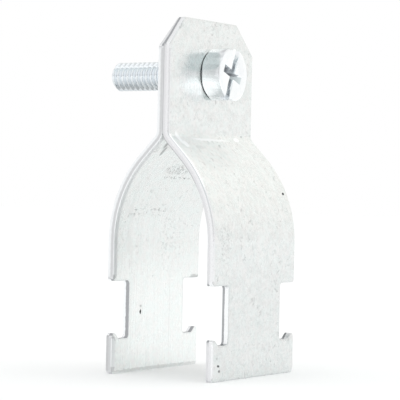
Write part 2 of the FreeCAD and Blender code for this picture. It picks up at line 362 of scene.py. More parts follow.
def foot_side(settings, side, body_reach):
    """Corners of one side of the foot and notch, from the floor upwards."""
    half = settings.foot_width / 2
    barb_top = settings.foot_height + settings.barb_rise
    notch_top = settings.foot_height + settings.notch_height
    outer = settings.corner_round
    inner = settings.notch_corner
    return [
        (side * half, 0, outer),
        (side * half, barb_top, outer),
        (side * (half - settings.barb_tip), barb_top, outer),
        (side * (half - settings.barb_tip - settings.barb_slope), settings.foot_height, outer),
        (side * settings.neck_width / 2, settings.foot_height, inner),
        (side * settings.neck_width / 2, notch_top, inner),
        (side * body_reach, notch_top, outer),
    ]


def strap_corners(settings, path):
    """Corners of the unrolled stamping with their radii, counter-clockwise."""
    front = settings.front_reach
    back = settings.width - front
    half_top = settings.ear_top_width / 2
    shift = settings.ear_top_shift
    ear = [
        (back, path.top - settings.long_clip, settings.corner_round),
        (half_top - shift, path.top, settings.corner_round),
        (-half_top - shift, path.top, settings.corner_round),
        (-front, path.top - settings.short_clip, settings.corner_round),
    ]
    return foot_side(settings, 1, back) + ear + foot_side(settings, -1, front)[::-1]


def rounded_loop(corners, step):
    """Evenly spaced points round a polygon whose corners are rounded."""
    pieces = []
    count = len(corners)
    for index, (across, along, radius) in enumerate(corners):
        corner = Vector((across, along))
        before = (Vector(corners[index - 1][:2]) - corner).normalized()
        after = (Vector(corners[(index + 1) % count][:2]) - corner).normalized()
        half = before.angle(after) / 2
        reach = radius / math.tan(half)
        start = corner + before * reach
        end = corner + after * reach
        centre = corner + (before + after).normalized() * radius / math.sin(half)
        sweep = (start - centre).angle_signed(end - centre)
        parts = max(CORNER_PARTS, math.ceil(radius * abs(sweep) / (step / CORNER_PARTS)))
        for part in range(parts + 1):
            turned = start - centre
            turned.rotate(Matrix.Rotation(-sweep * part / parts, 2))
            pieces.append(centre + turned)
    points = []
    for index, point in enumerate(pieces):
        following = pieces[(index + 1) % len(pieces)]
        parts = max(1, round((following - point).length / step))
        for part in range(parts):
            points.append(point.lerp(following, part / parts))
    return np.array([tuple(point) for point in points])


def inward_normals(loop):
    """Unit normals to the left of the direction of travel."""
    ahead = np.roll(loop, -1, axis=0) - np.roll(loop, 1, axis=0)
    ahead /= np.linalg.norm(ahead, axis=1)[:, None]
    return np.stack([-ahead[:, 1], ahead[:, 0]], axis=1)


def smooth_round(values, passes):
    """Values round a closed loop, averaged with their neighbours."""
    for _ in range(passes):
        values = (np.roll(values, 1) + values + np.roll(values, -1)) / 3
    return values


class Rim:
    """All the cut loops of the stamping, with the rolled zone beside each point."""

    def __init__(self, settings, path, step):
        outline = rounded_loop(strap_corners(settings, path), step)
        hole_along = path.top - (settings.height - (SCREW_LOW.z + SCREW_HIGH.z) / 2)
        turns = np.linspace(0, -FULL_TURN, HOLE_POINTS, endpoint=False)
        hole = np.stack([settings.hole_radius * np.cos(turns),
                         hole_along + settings.hole_radius * np.sin(turns)], axis=1)
        self.hole_centre = np.array([0.0, hole_along])
        self.loops = [outline, hole]
        self.starts = [0, len(outline)]
        self.points = np.concatenate(self.loops)
        self.normals = np.concatenate([inward_normals(loop) for loop in self.loops])
        side = np.abs(self.normals[:len(outline), 0]) > SQUARE_ON
        side &= np.abs(outline[:, 0]) > (settings.foot_width + settings.neck_width) / 4
        front = smooth_round((side & (outline[:, 0] < 0)).astype(float), ROLL_SMOOTHING)
        back = smooth_round((side & (outline[:, 0] > 0)).astype(float), ROLL_SMOOTHING)
        front = np.concatenate([front, np.zeros(len(hole))])
        self.front = front
        self.back = np.concatenate([back, np.zeros(len(hole))])
        self.width = settings.punch_roll_width + (front + self.back) * (
            settings.slit_roll_width - settings.punch_roll_width)
        punched = settings.punch_roll_drop
        self.outer_drop = punched + front * (settings.slit_roll_drop - punched) - (
            self.back * REAR_OUTER_ROLL * punched)
        self.inner_drop = self.back * settings.slit_roll_drop

    def nearest(self, points):
        """Distance to the cut loops and the index of the nearest point on them."""
        distance = np.full(len(points), np.inf)
        index = np.zeros(len(points), int)
        for first, loop in zip(self.starts, self.loops):
            ends = np.roll(loop, -1, axis=0)
            span = ends - loop
            squared = (span ** 2).sum(axis=1)
            for low in range(0, len(points), POINTS_AT_ONCE):
                block = points[low:low + POINTS_AT_ONCE]
                away = block[:, None] - loop[None]
                passed = np.clip((away * span[None]).sum(axis=2) / squared[None], 0, 1)
                gap = np.linalg.norm(away - passed[..., None] * span[None], axis=2)
                best = gap.argmin(axis=1)
                found = gap[np.arange(len(block)), best]
                part = slice(low, low + POINTS_AT_ONCE)
                closer = found < distance[part]
                distance[part] = np.where(closer, found, distance[part])
                index[part] = np.where(closer, first + best, index[part])
        return distance, index


def sheet_points(settings, path, rim):
    """Points on the unrolled sheet: its rim, rings inside the rim and a grid."""
    groups = [rim.points]
    for ring_share in RING_SHARES:
        offset = rim.width * ring_share
        ring = rim.points + rim.normals * offset[:, None]
        keep = rim.nearest(ring)[0] > offset * RING_FIT
        groups.append(ring[keep])
    step = settings.mesh_step
    bend = np.arange(path.bend_start - step, path.ear_start + step, step / 4)
    rows = np.arange(0, path.top, step)
    rows = rows[(rows < bend[0] - step / 2) | (rows > bend[-1] + step / 2)]
    rows = np.sort(np.concatenate([rows, bend]))
    columns = np.arange(-settings.width / 2, settings.width / 2, step)
    across, along = np.meshgrid(columns, rows)
    across = across + (np.arange(len(rows)) % 2)[:, None] * step / 2
    grid = np.stack([across.ravel(), along.ravel()], axis=1)
    grid = grid[np.abs(grid[:, 0]) < settings.width / 2]
    distance, index = rim.nearest(grid)
    inside = np.array([is_inside(point, rim.loops[0]) for point in grid])
    outside_hole = np.linalg.norm(grid - rim.hole_centre, axis=1) > settings.hole_radius
    keep = inside & outside_hole & (distance > rim.width[index] + step * GRID_MARGIN)
    groups.append(grid[keep])
    return np.concatenate(groups)


def is_inside(point, loop):
    """Whether a point lies inside a closed loop."""
    x, y = point
    following = np.roll(loop, -1, axis=0)
    crosses = (loop[:, 1] > y) != (following[:, 1] > y)
    start = loop[crosses]
    end = following[crosses]
    passed = (y - start[:, 1]) / (end[:, 1] - start[:, 1])
    meets = start[:, 0] + passed * (end[:, 0] - start[:, 0])
    return int((meets > x).sum()) % 2 == 1


def triangulate(points, rim):
    """Triangles over the unrolled sheet, and where each given point went."""
    edges = []
    for first, loop in zip(rim.starts, rim.loops):
        count = len(loop)
        edges += [(first + i, first + (i + 1) % count) for i in range(count)]
    scaled = [Vector(point) for point in points / MM]
    found = delaunay_2d_cdt(scaled, edges, [], 1, MERGE_REACH)
    flat = np.array([tuple(point) for point in found[0]]) * MM
    triangles = found[2]
    went = {}
    for new, olds in enumerate(found[3]):
        for old in olds:
            went[old] = new
    centres = np.array([flat[list(triangle)].mean(axis=0) for triangle in triangles])
    hole_radius = np.linalg.norm(rim.loops[1][0] - rim.hole_centre)
    kept = np.linalg.norm(centres - rim.hole_centre, axis=1) > hole_radius * SQUARE_ON
    return flat, [tuple(triangles[number]) for number in np.flatnonzero(kept)], went


def rolled_drop(rim, drop, distance, index):
    """How far a face drops towards the rim, as a quarter of an ellipse."""
    inner = np.clip(1 - distance / rim.width[index], 0, 1)
    return drop[index] * (1 - np.sqrt(np.clip(1 - inner ** 2, 0, 1)))


def set_attribute(mesh, name, values, kind):
    """A value at each vertex, for the materials."""
    attribute = mesh.attributes.new(name, kind, "POINT")
    key = "vector" if kind == "FLOAT_VECTOR" else "value"
    attribute.data.foreach_set(key, np.ascontiguousarray(values, np.float32).ravel())


class SheetMesh:
    """A strap on the unrolled sheet: its two faces, and the layers of its cut edges."""

    def __init__(self, settings, path, seed, torn_shift):
        self.settings = settings
        self.random = np.random.default_rng(seed)
        self.torn_shift = torn_shift
        self.rim = Rim(settings, path, settings.mesh_step / 2)
        flat, triangles, self.went = triangulate(
            sheet_points(settings, path, self.rim), self.rim)
        self.count = len(flat)
        self.add_faces(flat, triangles)
        for first, loop in zip(self.rim.starts, self.rim.loops):
            self.add_cut_edge(first, loop)

    def add_faces(self, flat, triangles):
        """The outer and the inner face, rolled over towards the rim."""
        rim = self.rim
        distance, index = rim.nearest(flat)
        rolled = np.clip(1 - distance / rim.width[index], 0, 1)
        front = rim.front[index]
        back = rim.back[index]
        punched = rolled * (1 - front - back)
        outer = rolled_drop(rim, rim.outer_drop, distance, index)
        inner = rolled_drop(rim, rim.inner_drop, distance, index)
        self.places = [flat, flat]
        self.depths = [outer, self.settings.sheet - inner]
        self.cuts = [FRONT_ROLL_CUT * rolled * front, REAR_ROLL_CUT * rolled * back]
        self.through = [back, 1 - back]
        # The third kind, the rolled zone by punched edges, is darkened in the material as painted
        # shade
        self.kinds = [np.stack([front, back, punched], axis=1)] * 2
        below = [tuple(i + self.count for i in triangle[::-1]) for triangle in triangles]
        self.polygons = triangles + below

    def add_cut_edge(self, first, loop):
        """Layers from face to face along one cut loop, burnished at first and then torn."""
        rim = self.rim
        size = len(loop)
        part = slice(first, first + size)
        rim_ids = np.array([self.went[first + i] for i in range(size)])
        upper_depth = rim.outer_drop[part]
        lower_depth = self.settings.sheet - rim.inner_drop[part]
        back = rim.back[part]
        slit = back + rim.front[part]
        wave = smooth_round(self.random.normal(0, 1, size), WAVE_SMOOTHING)
        wave = TORN_WAVE * wave / np.abs(wave).max()
        rows = [rim_ids]
        for layer in range(1, EDGE_LAYERS):
            passed = back + (1 - 2 * back) * layer / EDGE_LAYERS
            torn = np.clip(2 * (passed - wave) - 1, 0, 1)
            hollow = self.settings.fracture_hollow * (1 - SLIT_FLATNESS * slit)
            hollow = hollow * np.sin(math.pi * torn)
            rough = self.random.normal(0, TORN_ROUGHNESS, size) * (torn > 0)
            rows.append(sum(map(len, self.places)) + np.arange(size))
            self.places.append(loop + rim.normals[part] * (hollow + rough)[:, None])
            self.depths.append(upper_depth + (lower_depth - upper_depth) * layer / EDGE_LAYERS)
            self.cuts.append(np.ones(size))
            self.through.append(passed + self.torn_shift * (1 - slit))
            self.kinds.append(np.stack([slit - back, back, np.zeros(size)], axis=1))
        rows.append(rim_ids + self.count)
        for upper, lower in zip(rows[:-1], rows[1:]):
            self.polygons += zip(upper, lower, np.roll(lower, -1), np.roll(upper, -1))
        for face_cuts in self.cuts[:2]:
            face_cuts[rim_ids] = 1.0


def strap_mesh(settings, name, seed, torn_shift):
    """The bent strap, with cut edges that are rolled, then burnished, then torn."""
    path = SheetPath(settings)
    sheet = SheetMesh(settings, path, seed, torn_shift)
    place = np.concatenate(sheet.places)
    depth = np.concatenate(sheet.depths)
    x, z = path.place(place[:, 1], depth)
    vertices = np.stack([x, place[:, 0], z], axis=1)
    polygons = [tuple(int(corner) for corner in polygon) for polygon in sheet.polygons]
    mesh = bpy.data.meshes.new(name)
    mesh.from_pydata(vertices.tolist(), [], polygons)
    mesh.update()
    sheet_place = np.stack([place[:, 0], place[:, 1], depth + seed * SEED_STEP], axis=1)
    set_attribute(mesh, SHEET_PLACE, sheet_place, "FLOAT_VECTOR")
    set_attribute(mesh, EDGE_KIND, np.concatenate(sheet.kinds), "FLOAT_VECTOR")
    set_attribute(mesh, CUT_FACE, np.concatenate(sheet.cuts), "FLOAT")
    set_attribute(mesh, CUT_THROUGH, np.concatenate(sheet.through), "FLOAT")
    set_attribute(mesh, SHEET_DEPTH, depth / settings.sheet, "FLOAT")
    mesh.validate()
    mesh.shade_smooth()
    mesh.set_sharp_from_angle(angle=SHEET_CREASE)
    return mesh


# Turned and threaded pieces


def corner_turns(sides, per_side):
    """Angles round a prism, closer together at its corners, starting at a corner."""
    turns = []
    for side in range(sides):
        for part in range(per_side):
            passed = part / per_side
            eased = passed - CORNER_CROWDING * math.sin(FULL_TURN * passed) / FULL_TURN
            turns.append((side + eased) / sides * FULL_TURN)
    return np.array(turns)


def prism_radius(turns, sides, across_flats, blend):
    """Distance from the axis to a prism with rounded corners; the first turn is a corner."""
    wedge = FULL_TURN / sides
    off_flat = np.mod(turns - turns[0], wedge) - wedge / 2
    flat = across_flats / 2
    sharp = flat / np.cos(off_flat)
    corner = flat / math.cos(wedge / 2)
    centre = corner - blend / math.cos(wedge / 2)
    to_corner = wedge / 2 - np.abs(off_flat)
    inside = blend ** 2 - (centre * np.sin(to_corner)) ** 2
    arc = centre * np.cos(to_corner) + np.sqrt(np.clip(inside, 0, None))
    touch = math.atan2(centre * math.sin(wedge / 2), flat)
    return np.where(np.abs(off_flat) > touch, np.minimum(arc, sharp), sharp)


def thread_radius(phase, crest_radius, depth, pitch):
    """Radius of a sixty degree thread; phase is in turns, with a crest at nought."""
    from_crest = np.abs(np.mod(phase + 0.5, 1.0) - 0.5) * pitch
    crest_flat = pitch * CREST_SHARE
    drop = np.clip((from_crest - crest_flat) * math.tan(THREAD_FLANK), 0, None)
    softness = ROOT_SOFTNESS * depth
    return crest_radius - (drop + depth - np.sqrt((drop - depth) ** 2 + softness ** 2)) / 2


def thread_rows(turns, low, high, pitch):
    """Positions along the axis that follow the helix, held between two ends."""
    first = math.floor(low / pitch) - 1
    last = math.ceil(high / pitch) + 1
    steps = np.arange(first * ROWS_PER_PITCH, last * ROWS_PER_PITCH + 1)
    phase = steps[:, None] / ROWS_PER_PITCH + turns[None] / FULL_TURN
    return np.clip(phase * pitch, low, high), phase


def ring_of(bm, along, radii, turns, shift=0.0):
    """A ring of vertices about the axis, moved sideways by a shift."""
    return [bm.verts.new((x, radius * math.cos(turn) + shift, radius * math.sin(turn)))
            for x, radius, turn in zip(along, radii, turns)]


def threaded_surface(bm, turns, low, high, pitch, radius_at, outward):
    """Adds a helical surface to a bmesh; each turn of the helix joins on to the next."""
    along, phase = thread_rows(turns, low, high, pitch)
    rows = [ring_of(bm, positions, radii, turns)
            for positions, radii in zip(along, radius_at(along, phase))]
    last_column = len(turns) - 1
    for level, (lower, upper) in enumerate(zip(rows[:-1], rows[1:])):
        for column in range(len(turns)):
            if column < last_column:
                ring = [lower[column], lower[column + 1], upper[column + 1], upper[column]]
            elif level + 1 + ROWS_PER_PITCH < len(rows):
                ring = [lower[column], rows[level + ROWS_PER_PITCH][0],
                        rows[level + 1 + ROWS_PER_PITCH][0], upper[column]]
            else:
                continue
            rise = abs(ring[0].co.x - ring[2].co.x) + abs(ring[1].co.x - ring[3].co.x)
            if rise < NOTHING:
                continue
            bm.faces.new(ring if outward else ring[::-1])


def join_rings(bm, lower, upper):
    """Faces between two rings, facing away from the axis when x grows from lower to upper."""
    count = len(lower)
    for number in range(count):
        following = (number + 1) % count
        bm.faces.new([lower[number], lower[following], upper[following], upper[number]])


def both(x, radius, turns):
    """A pair of arrays of x and radius at every angle."""
    return np.array([np.broadcast_to(x, turns.shape), np.broadcast_to(radius, turns.shape)], float)


def blended_profile(points, blend, parts=3):
    """A profile of x and radius arrays with its inner corners rounded off."""
    result = [points[0]]
    for before, corner, after in zip(points[:-2], points[1:-1], points[2:]):
        back = before - corner
        ahead = after - corner
        back_length = np.maximum(np.linalg.norm(back, axis=0), NOTHING)
        ahead_length = np.maximum(np.linalg.norm(ahead, axis=0), NOTHING)
        reach = np.minimum(blend, np.minimum(back_length, ahead_length) * BLEND_REACH)
        start = corner + back / back_length * reach
        end = corner + ahead / ahead_length * reach
        for part in range(parts + 1):
            passed = part / parts
            left = 1 - passed
            result.append(left ** 2 * start + 2 * passed * left * corner + passed ** 2 * end)
    result.append(points[-1])
    return result


def as_rings(bm, profile, turns, shift=0.0):
    """Rings of vertices from a profile of x and radius arrays; all but the first are shifted."""
    rings = [ring_of(bm, *profile[0], turns)]
    for place in profile[1:]:
        rings.append(ring_of(bm, *place, turns, shift))
        join_rings(bm, *rings[-2:])
    return rings


def finished_mesh(bm, name):
    """A mesh from a bmesh, merged, facing outwards and smoothly shaded."""
    bmesh.ops.remove_doubles(bm, verts=bm.verts, dist=MERGE_REACH)
    bmesh.ops.recalc_face_normals(bm, faces=bm.faces)
    mesh = bpy.data.meshes.new(name)
    bm.to_mesh(mesh)
    bm.free()
    mesh.validate()
    mesh.shade_smooth()
    mesh.set_sharp_from_angle(angle=PLATED_CREASE)
    return mesh


def head_profile(settings, turns, base):
    """Rings of the head from the neck under it to the rim of its face."""
    hexagon = prism_radius(turns, 6, settings.across_flats, settings.corner_blend)
    low = np.minimum(hexagon, settings.low_trim / 2)
    high = np.minimum(hexagon, settings.high_trim / 2)
    face = base + settings.head_height
    seat_top = base + settings.seat_height
    seat = settings.seat_diameter / 2
    under = np.minimum(low - settings.edge_blend, settings.under_diameter / 2)
    face_radius = settings.face_diameter / 2
    under_top = seat_top + UNDER_SLOPE * (low - under)
    shoulder = face - (high - face_radius) * math.tan(settings.chamfer_angle)
    points = [
        both(base, settings.neck_radius, turns),
        both(base + settings.seat_gap, seat, turns),
        both(seat_top, seat, turns),
        both(seat_top, under, turns),
        both(under_top, low, turns),
        both(shoulder, high, turns),
        both(face, face_radius, turns),
        both(face, face_radius - FACE_RING, turns),
    ]
    return blended_profile(points, settings.edge_blend)


def cutter_object(name, bm):
    """A helper for cutting, with a material index that its faces keep."""
    for face in bm.faces:
        face.material_index = CUT_INDEX
    bmesh.ops.recalc_face_normals(bm, faces=bm.faces)
    mesh = bpy.data.meshes.new(name)
    bm.to_mesh(mesh)
    bm.free()
    helper = bpy.data.objects.new(name, mesh)
    bpy.context.scene.collection.objects.link(helper)
    return helper


def tapered_bar(bm, turn, low_x, high_x, low_size, high_size):
    """A bar square to the axis whose section changes from low to high."""
    spin = Matrix.Rotation(turn, 3, "X")
    rings = []
    for x, (span, width) in ((low_x, low_size), (high_x, high_size)):
        ring = [bm.verts.new(spin @ Vector((x, y, z))) for y, z in (
            (-width / 2, -span / 2), (width / 2, -span / 2),
            (width / 2, span / 2), (-width / 2, span / 2))]
        rings.append(ring)
    join_rings(bm, *rings)
    bm.faces.new(rings[0][::-1])
    bm.faces.new(rings[1])


def carve(body, helper):
    """Cuts a helper out of an object and removes the helper."""
    modifier = body.modifiers.new("carve", "BOOLEAN")
    modifier.solver = "EXACT"
    modifier.operation = "DIFFERENCE"
    modifier.object = helper
    graph = bpy.context.evaluated_depsgraph_get()
    mesh = bpy.data.meshes.new_from_object(body.evaluated_get(graph))
    body.modifiers.clear()
    body.data = mesh
    bpy.data.objects.remove(helper)


def round_recess(mesh, offset):
    """Rounds the edges that the drive leaves in the head."""
    bm = bmesh.new()
    bm.from_mesh(mesh)
    bmesh.ops.remove_doubles(bm, verts=bm.verts, dist=SLIVER)
    bmesh.ops.dissolve_degenerate(bm, edges=bm.edges, dist=SLIVER)
    chosen = []
    for edge in bm.edges:
        if len(edge.link_faces) != 2:
            continue
        cut = any(face.material_index == CUT_INDEX for face in edge.link_faces)
        if cut and edge.calc_face_angle(0) > DRIVE_CREASE:
            chosen.append(edge)
    bmesh.ops.bevel(
        bm, geom=chosen, offset=offset, offset_type="OFFSET", segments=2, profile=0.5,
        affect="EDGES", clamp_overlap=True, material=-1)
    for face in bm.faces:
        face.material_index = 0
    bm.to_mesh(mesh)
    bm.free()


def screw_head(settings, turns, base):
    """The head as an object, from the neck under it to its closed face."""
    bm = bmesh.new()
    rings = as_rings(bm, head_profile(settings, turns, base), turns, settings.head_offset)
    bm.faces.new(rings[-1])
    bm.faces.new(rings[0][::-1])
    bmesh.ops.recalc_face_normals(bm, faces=bm.faces)
    mesh = bpy.data.meshes.new("clamp_screw_head")
    bm.to_mesh(mesh)
    bm.free()
    head = bpy.data.objects.new("clamp_screw_head", mesh)
    bpy.context.scene.collection.objects.link(head)
    return head


def cut_drive(settings, head):
    """Cuts the slot and the two wings of the cross into the head."""
    face = SCREW_HIGH.x
    margin = 1.0 * MM
    lean = settings.drive_angle
    slot = (2 * settings.across_flats, settings.slot_width)
    growth = margin / settings.cross_depth
    wide_span = settings.cross_span + (settings.cross_span - settings.cross_floor_span) * growth
    wide_width = settings.cross_width + (
        settings.cross_width - settings.cross_floor_width) * growth
    narrow = (settings.cross_floor_span, settings.cross_floor_width)
    bm = bmesh.new()
    tapered_bar(bm, -lean, face - settings.slot_depth, face + margin, slot, slot)
    carve(head, cutter_object("slot_cutter", bm))
    for turn in (-lean, math.pi / 2 - lean):
        bm = bmesh.new()
        tapered_bar(bm, turn, face - settings.cross_depth, face + margin,
                    narrow, (wide_span, wide_width))
        carve(head, cutter_object("wing_cutter", bm))
    round_recess(head.data, settings.edge_blend * DRIVE_BLEND)


def clamp_screw_mesh(settings):
    """Screw with a helical thread, chamfered hex head, slot and cross recess."""
    base = SCREW_HIGH.x - settings.head_height
    tip = SCREW_LOW.x
    turns = corner_turns(sides=6, per_side=24) + math.pi / 3
    head = screw_head(settings, turns, base)
    cut_drive(settings, head)
    bm = bmesh.new()
    bm.from_mesh(head.data)
    bpy.data.objects.remove(head)
    neck_face = min(bm.faces, key=lambda face: face.calc_center_median().x)
    bmesh.ops.delete(bm, geom=[neck_face], context="FACES_ONLY")

    def radius_at(along, phase):
        thread = thread_radius(phase, settings.thread_radius, settings.thread_depth, settings.pitch)
        tip_limit = settings.thread_radius - settings.tip_chamfer + (along - tip)
        fade = np.clip((along - (base - settings.run_out)) / settings.run_out, 0, 1)
        fade = fade * fade * (3 - 2 * fade)
        thread = thread * (1 - fade) + settings.neck_radius * fade
        return np.minimum(thread, tip_limit)

    threaded_surface(bm, turns, tip, base, settings.pitch, radius_at, True)
    cap = both(tip, settings.thread_radius - settings.tip_chamfer, turns)
    bm.faces.new(ring_of(bm, *cap, turns)[::-1])
    mesh = finished_mesh(bm, "clamp_screw_body")
    set_attribute(mesh, PAINTED_SHADE, screw_painted_shade(settings, mesh, base), "FLOAT")
    return mesh


def screw_painted_shade(settings, mesh, base):
    """Painted shade: darkening in the gap under the head, on one side of the face's rim, down the
    drive, in the thread's roots and on the top and bottom of the thread.
    """
    points = np.zeros(len(mesh.vertices) * 3)
    mesh.vertices.foreach_get("co", points)
    x, y, z = points.reshape(-1, 3).T
    radius = np.hypot(y, z)
    height = z / settings.thread_radius
    face = base + settings.head_height
    gap = (x > base - HAIR) & (x < base + settings.seat_height + HAIR)
    gap &= radius > settings.neck_radius + HAIR
    gap = gap * np.where(x > base + settings.seat_height / 2, GAP_TOP_SHADE, 1.0)
    rim = (x > face - RIM_BAND) & (radius > settings.face_diameter * RIM_SHARE) & (y < 0)
    sunk = np.clip((face - DRIVE_EDGE - x) / settings.cross_depth, 0, 1)
    drive = (radius < settings.cross_span / 2) & (x > base)
    drive = drive * DRIVE_SHADE * sunk ** DRIVE_FADE
    root = np.clip((settings.thread_radius - radius) / settings.thread_depth, 0, 1)
    above = np.clip((height - TOP_START) / TOP_SPREAD, 0, 1) * (TOP_SHADE + TOP_ROOT_SHADE * root)
    below = np.clip(-height, 0, 1) * BOTTOM_SHADE
    thread = (x < base) * (ROOT_SHADE * root + above + below)
    return np.maximum(np.maximum(gap, RIM_SHADE * rim), np.maximum(drive, thread))


def square_nut_mesh(settings, pitch):
    """Square nut with chamfered outer corners and a threaded bore."""
    turns = corner_turns(sides=4, per_side=36) + math.pi / 4
    inner = NUT_HIGH.x
    outer = NUT_LOW.x
    square = prism_radius(turns, 4, settings.across_flats, settings.corner_blend)
    flat = settings.across_flats / 2
    face_radius = flat * NUT_FACE_SHARE
    shoulder = outer + np.clip(square - face_radius, 0, None) * math.tan(settings.chamfer_angle)
    mouth = settings.bore_radius + settings.countersink
    points = [
        both(outer, mouth, turns),
        both(outer, face_radius, turns),
        both(shoulder, square, turns),
        both(inner, square, turns),
        both(inner, mouth, turns),
    ]
    profile = blended_profile(points, settings.edge_blend)
    bm = bmesh.new()
    as_rings(bm, profile, turns)

    def radius_at(along, phase):
        thread = thread_radius(phase, settings.bore_radius, settings.thread_depth, pitch)
        outer_cone = mouth - (along - outer)
        inner_cone = mouth - (inner - along)
        return np.maximum(thread, np.maximum(outer_cone, inner_cone))

    threaded_surface(bm, turns, outer, inner, pitch, radius_at, False)
    return finished_mesh(bm, "square_nut_body")


# Materials


def put(tree, kind, values=None, **settings):
    """A node with its settings, and its inputs set or linked by name or index."""
    node = tree.nodes.new(kind)
    for key, value in settings.items():
        setattr(node, key, value)
    for key, value in (values or {}).items():
        if isinstance(value, bpy.types.NodeSocket):
            tree.links.new(value, node.inputs[key])
        else:
            node.inputs[key].default_value = value
    return node


def noise(tree, place, scale=1.0, detail=2.0, roughness=0.5, distortion=0.0):
    """A noise value from nought to one."""
    node = put(tree, "ShaderNodeTexNoise", {
        "Vector": place, "Scale": scale, "Detail": detail, "Roughness": roughness,
        "Distortion": distortion})
    return node.outputs[0]


def stretched(tree, place, scales):
    """A place multiplied by a factor on each axis."""
    node = put(tree, "ShaderNodeVectorMath", {0: place, 1: scales}, operation="MULTIPLY")
    return node.outputs[0]


def math_of(tree, operation, first, second):
    """One arithmetic node."""
    return put(tree, "ShaderNodeMath", {0: first, 1: second}, operation=operation).outputs[0]


def times(tree, first, second):
    """A product."""
    return math_of(tree, "MULTIPLY", first, second)


def plus(tree, first, second):
    """A sum."""
    return math_of(tree, "ADD", first, second)


def larger(tree, first, second):
    """The larger of two values."""
    return math_of(tree, "MAXIMUM", first, second)


def rest_of(tree, value, whole=1.0):
    """What a value leaves of the whole."""
    return math_of(tree, "SUBTRACT", whole, value)


def ramp(tree, value, low, high, start=0.0, end=1.0):
    """A smooth step of a value between low and high."""
    node = put(tree, "ShaderNodeMapRange", {
        "Value": value, "From Min": low, "From Max": high, "To Min": start, "To Max": end},
        interpolation_type="SMOOTHSTEP")
    return node.outputs[0]


def mixed(tree, share_of_second, first, second, blend="MIX"):
    """Two colours mixed."""
    node = put(tree, "ShaderNodeMix", {0: share_of_second, 6: first, 7: second},
               data_type="RGBA", blend_type=blend)
    return node.outputs[2]


def bumped(tree, height, strength, distance, normal=None, **settings):
    """A normal bent by a height over a distance in millimetres, on top of another normal."""
    values = {"Strength": strength, "Distance": distance * MM, "Height": height}
    if normal is not None:
        values["Normal"] = normal
    return put(tree, "ShaderNodeBump", values, **settings).outputs[0]


def part_of(place, axis):
    """One axis of a place."""
    return put(place.id_data, "ShaderNodeSeparateXYZ", {0: place}).outputs[axis]


def solid(rgb):
    """A colour with full alpha."""
    return (*rgb, 1.0)


def material(name):
    """A new material with an empty tree, its tree and its surface socket."""
    made = bpy.data.materials.new(name)
    made.use_nodes = True
    made.node_tree.nodes.clear()
    output = made.node_tree.nodes.new("ShaderNodeOutputMaterial")
    return made, made.node_tree, output.inputs["Surface"]


def metal(tree, surface, base, roughness, normal):
    """A metal surface."""
    shader = put(tree, "ShaderNodeBsdfPrincipled", {
        "Base Color": base, "Metallic": 1.0, "Roughness": roughness, "Normal": normal})
    tree.links.new(shader.outputs[0], surface)


class SheetNodes:
    """What the sheet's material starts from: places in millimetres, kinds of edge and noises."""

    def __init__(self, tree):
        self.tree = tree
        self.place = stretched(tree, self.stored(SHEET_PLACE, "Vector"), TO_MM)
        self.along = part_of(self.place, 1)
        self.cut = self.stored(CUT_FACE, "Fac")
        self.through = self.stored(CUT_THROUGH, "Fac")
        self.depth = self.stored(SHEET_DEPTH, "Fac")
        kind = self.stored(EDGE_KIND, "Vector")
        self.front_slit = part_of(kind, 0)
        self.rear_slit = part_of(kind, 1)
        self.punched = part_of(kind, 2)
        self.height = ramp(tree, self.along, low=14.0, high=36.0)
        self.above_foot = (8.0, 24.0)
        self.cloud = noise(tree, self.place, 0.32, 4.0, 0.6, 0.4)
        self.grain = noise(tree, self.place, 1.25, 3.0, 0.6)
        self.speckle = noise(tree, self.place, scale=7.0)
        across_lines = stretched(tree, self.place, (2.6, 0.07, 1.0))
        along_lines = stretched(tree, self.place, (0.25, 7.0, 1.0))
        self.rolling = noise(tree, across_lines, detail=3.0, roughness=0.6)
        self.scratch = noise(tree, along_lines)
        uneven = times(tree, math_of(tree, "SUBTRACT", self.grain, 0.5), 0.25)
        self.torn_line = plus(tree, self.through, uneven)
        self.torn = ramp(tree, self.torn_line, 0.47, 0.56)

    def stored(self, name, output):
        """A value that the mesh brings with it."""
        return put(self.tree, "ShaderNodeAttribute", attribute_name=name).outputs[output]


def face_colour(nodes, finish):
    """Colour of the two faces, clouded and faintly tinted; the inner side is painted lighter for
    bounced light, the outer side is darker towards the foot, and painted shade darkens the inner
    side higher up and the punched rims.
    """
    tree = nodes.tree
    tone = plus(tree, times(tree, nodes.cloud, 0.5), times(tree, nodes.grain, 0.5))
    tone = ramp(tree, tone, 0.38, 0.62)
    outer = mixed(tree, tone, solid(finish.sheet_dark), solid(finish.sheet_light))
    # Painted light: the inner side is lighter, for light bounced between the two straps
    inner = mixed(tree, tone, solid(finish.inner_dark), solid(finish.inner_light))
    # Darker towards the foot outside; painted shade darkens the inner side higher up, towards the
    # arch and the bend
    outer_shade = times(tree, rest_of(tree, nodes.height), 0.08)
    inner_shade = times(tree, nodes.height, 0.11)
    outer = mixed(tree, outer_shade, outer, solid(finish.pit))
    inner = mixed(tree, inner_shade, inner, solid(finish.pit))
    base = mixed(tree, nodes.depth, outer, inner)
    tint = ramp(tree, noise(tree, nodes.place, 0.55, 3.0, 0.55), 0.4, 0.6)
    hue = mixed(tree, tint, solid(WARM_TINT), solid(COOL_TINT))
    base = mixed(tree, 1.0, base, hue, "MULTIPLY")
    # Painted shade along the rolled zone of the punched edges, on both faces
    return mixed(tree, times(tree, nodes.punched, 0.3), base, solid(finish.fracture))


